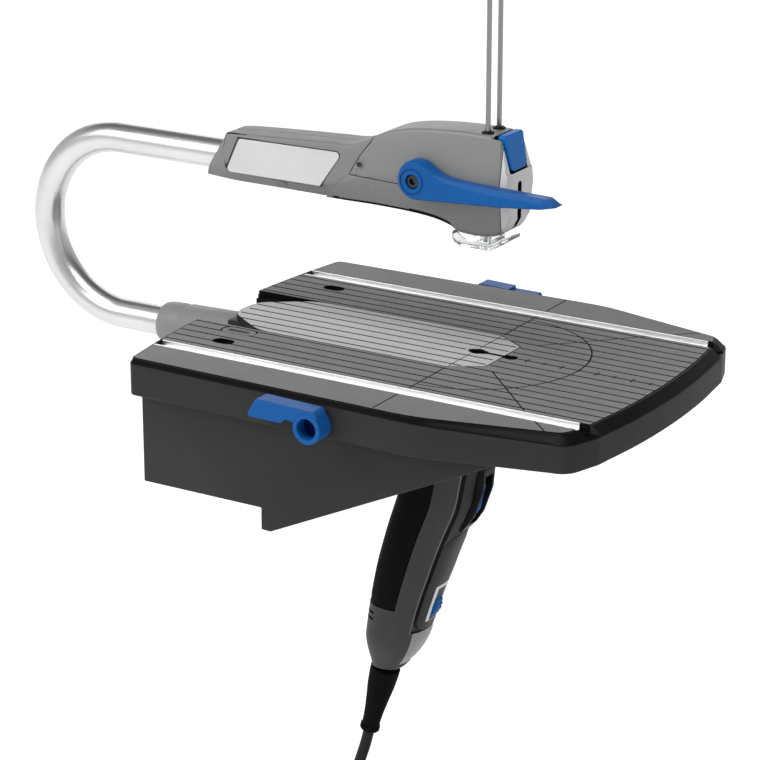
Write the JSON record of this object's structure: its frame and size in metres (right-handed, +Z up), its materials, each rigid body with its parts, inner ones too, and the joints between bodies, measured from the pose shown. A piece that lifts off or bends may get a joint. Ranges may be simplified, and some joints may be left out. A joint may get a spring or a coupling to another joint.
{
  "type": "scroll saw",
  "caption": "Compact bench scroll saw: a handled saw unit with a bent tube arm, tension lever and clear hold-down foot, locked in a grooved table on a bench-edge base.",
  "frame": {"origin": "middle of the flat seat under the base, where it rests on the bench top", "axes": "+X from the tube's bend towards the user's work, +Z up, normal to the table top, -Y the side with the tension lever"},
  "size_m": [0.378, 0.225, 0.6094],
  "materials": {
    "slate_plastic": "fine-textured mid grey moulding",
    "black_plastic": "satin black moulding",
    "dark_plastic": "satin charcoal moulding",
    "deck_paint": "satin dark grey paint on a grooved casting",
    "light_plastic": "satin light grey",
    "blue_plastic": "satin blue",
    "rubber": "soft black overmould",
    "aluminium": "brushed",
    "steel": "bright",
    "clear_plastic": "clear acrylic",
    "brass": "plain"
  },
  "bodies": {
    "base": {"deck_plate": "deck_paint", "latch_tab": "deck_paint", "rim_frame": "black_plastic", "rail_near": "aluminium", "rail_far": "aluminium", "cheek_near": "black_plastic", "cheek_far": "black_plastic", "bench_seat": "black_plastic", "lock_spigot_near": "dark_plastic", "lock_spigot_far": "dark_plastic", "shoe_plate": "light_plastic", "frame_tube": "aluminium", "tube_collar": "light_plastic", "frame_casting": "dark_plastic", "housing_near": "slate_plastic", "housing_far": "slate_plastic", "grip_rubber": "rubber", "front_panel": "dark_plastic", "switch_hood": "black_plastic", "dial_bezel": "light_plastic", "butt_cap": "light_plastic", "strain_relief": "rubber", "motor_can": "steel", "switch_body": "dark_plastic", "speed_module": "dark_plastic", "gear_bearing": "brass", "drive_guide": "brass", "arm_shell_near": "slate_plastic", "arm_shell_far": "slate_plastic", "head_cover": "slate_plastic", "front_cap": "light_plastic", "label_panel": "aluminium", "plunger_guide": "brass", "arm_screw_1": "steel", "tension_spring": "steel", "cord": "rubber", "cord_coil": "rubber", "cord_tail": "rubber", "cord_tie": "black_plastic", "plug_body": "rubber", "plug_pin_1": "brass", "plug_pin_2": "brass"},
    "gear": {"drive_gear": "steel"},
    "rotor": {"motor_pinion": "steel"},
    "yoke": {"drive_yoke": "steel", "lower_clamp_screw": "steel"},
    "plunger": {"upper_plunger": "steel", "upper_clamp": "steel", "upper_clamp_screw": "steel"},
    "tension": {"tension_lever": "blue_plastic", "lever_screw": "steel"},
    "hold_down": {"hold_down_rod": "steel", "clear_foot": "clear_plastic"},
    "foot_release": {"release_button": "blue_plastic"},
    "power": {"power_slider": "blue_plastic"},
    "dial": {"speed_dial": "blue_plastic"},
    "lock_near": {"lock_lever_near": "blue_plastic"},
    "lock_far": {"lock_lever_far": "blue_plastic"}
  },
  "joints": [
    {"name": "gear_spin", "type": "hinge", "parent": "base", "child": "gear", "pos_m": [0.0974, -0.005, 0.032], "axis": [0, 1, 0], "continuous": true},
    {"name": "rotor_spin", "type": "hinge", "parent": "base", "child": "rotor", "pos_m": [0.0848, 0, -0.009], "axis": [0.294, 0, 0.9558], "continuous": true},
    {"name": "yoke_slide", "type": "slide", "parent": "base", "child": "yoke", "axis": [0, 0, 1], "range_m": [-0.004, 0.004]},
    {"name": "plunger_slide", "type": "slide", "parent": "base", "child": "plunger", "axis": [0, 0, 1], "range_m": [-0.004, 0.004], "deforming": ["tension_spring"]},
    {"name": "tension_lever_turn", "type": "hinge", "parent": "base", "child": "tension", "pos_m": [0.0802, -0.019, 0.1553], "axis": [0, -1, 0], "range_deg": [0, 100]},
    {"name": "foot_slide", "type": "slide", "parent": "base", "child": "hold_down", "axis": [0, 0, 1], "range_m": [-0.055, 0]},
    {"name": "foot_release_press", "type": "slide", "parent": "base", "child": "foot_release", "axis": [-1, 0, 0], "range_m": [0, 0.0015], "stiffness_N_per_m": 500, "springref_m": -0.001},
    {"name": "power_slide", "type": "slide", "parent": "base", "child": "power", "axis": [0.294, 0, 0.9558], "range_m": [0, 0.005]},
    {"name": "speed_turn", "type": "hinge", "parent": "base", "child": "dial", "pos_m": [0.0743, 0, -0.0725], "axis": [0, 1, 0], "range_deg": [-130, 130]},
    {"name": "lock_near_turn", "type": "hinge", "parent": "base", "child": "lock_near", "pos_m": [0.076, -0.104, 0.0555], "axis": [0, -1, 0], "range_deg": [0, 90]},
    {"name": "lock_far_turn", "type": "hinge", "parent": "base", "child": "lock_far", "pos_m": [0.076, 0.104, 0.0555], "axis": [0, -1, 0], "range_deg": [0, 90]}
  ],
  "couplings": [
    {"joint": "rotor_spin", "follows": "gear_spin", "ratio": -2.5},
    {"joint": "plunger_slide", "follows": "yoke_slide", "ratio": 1}
  ]
}
